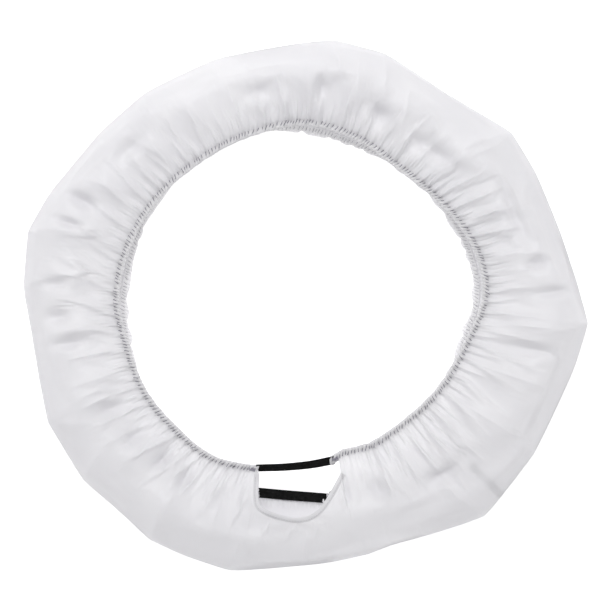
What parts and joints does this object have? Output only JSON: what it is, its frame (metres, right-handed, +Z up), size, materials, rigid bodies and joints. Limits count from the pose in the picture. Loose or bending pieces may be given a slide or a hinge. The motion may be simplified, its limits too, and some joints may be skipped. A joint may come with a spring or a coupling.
{
  "type": "spare tire cover",
  "caption": "Ring-shaped milky film sleeve for a spare tyre, gathered front and back by hidden hem elastic, with a notch bridged by black elastic bands.",
  "frame": {"origin": "on the floor under the middle of the cover's box, as it lies flat", "axes": "+Z up, out of the front opening; +X to the right across the widest extent; the notch is towards -Y"},
  "size_m": [0.69, 0.6479, 0.0614],
  "materials": {
    "film": "milky translucent film, soft gloss, finely gathered",
    "black_elastic": "woven elastic band, matte",
    "hem_elastic": "knitted elastic, hidden in the hem",
    "thread": "polyester sewing thread"
  },
  "bodies": {
    "cover": {"film_back_face": "film", "film_lower_wall_right": "film", "film_lower_wall_top_right": "film", "film_lower_wall_top": "film", "film_lower_wall_top_left": "film", "film_lower_wall_left": "film", "film_lower_wall_bottom_left": "film", "film_lower_wall_bottom": "film", "film_lower_wall_bottom_right": "film", "film_upper_wall_right": "film", "film_upper_wall_top_right": "film", "film_upper_wall_top": "film", "film_upper_wall_top_left": "film", "film_upper_wall_left": "film", "film_upper_wall_bottom_left": "film", "film_upper_wall_bottom": "film", "film_upper_wall_bottom_right": "film", "film_front_face": "film", "joining_seam": "film", "back_hem_casing": "film", "back_hem_elastic": "hem_elastic", "back_hem_stitching": "thread", "back_notch_hem": "film", "lower_band_left_end": "black_elastic", "lower_band_right_end": "black_elastic", "lower_left_bartack": "thread", "lower_right_bartack": "thread"},
    "front_rim": {"film_front_gather": "film", "front_hem_casing": "film", "front_hem_elastic": "hem_elastic", "front_hem_stitching": "thread", "front_notch_hem_left": "film", "front_notch_hem_foot": "film", "front_notch_hem_right": "film", "front_notch_stitching": "thread", "upper_band_left_end": "black_elastic", "upper_band_right_end": "black_elastic", "upper_left_bartack": "thread", "upper_right_bartack": "thread"},
    "upper_band_span": {"upper_band": "black_elastic"},
    "lower_band_span": {"lower_band": "black_elastic"}
  },
  "joints": [
    {"name": "front_rim_lift", "type": "slide", "parent": "cover", "child": "front_rim", "axis": [0, 0, 1], "range_m": [0, 0.07]},
    {"name": "upper_band_pull", "type": "slide", "parent": "front_rim", "child": "upper_band_span", "axis": [0, 0, 1], "range_m": [0, 0.03], "stiffness_N_per_m": 120},
    {"name": "lower_band_pull", "type": "slide", "parent": "cover", "child": "lower_band_span", "axis": [0, 0, 1], "range_m": [0, 0.03], "stiffness_N_per_m": 120}
  ]
}
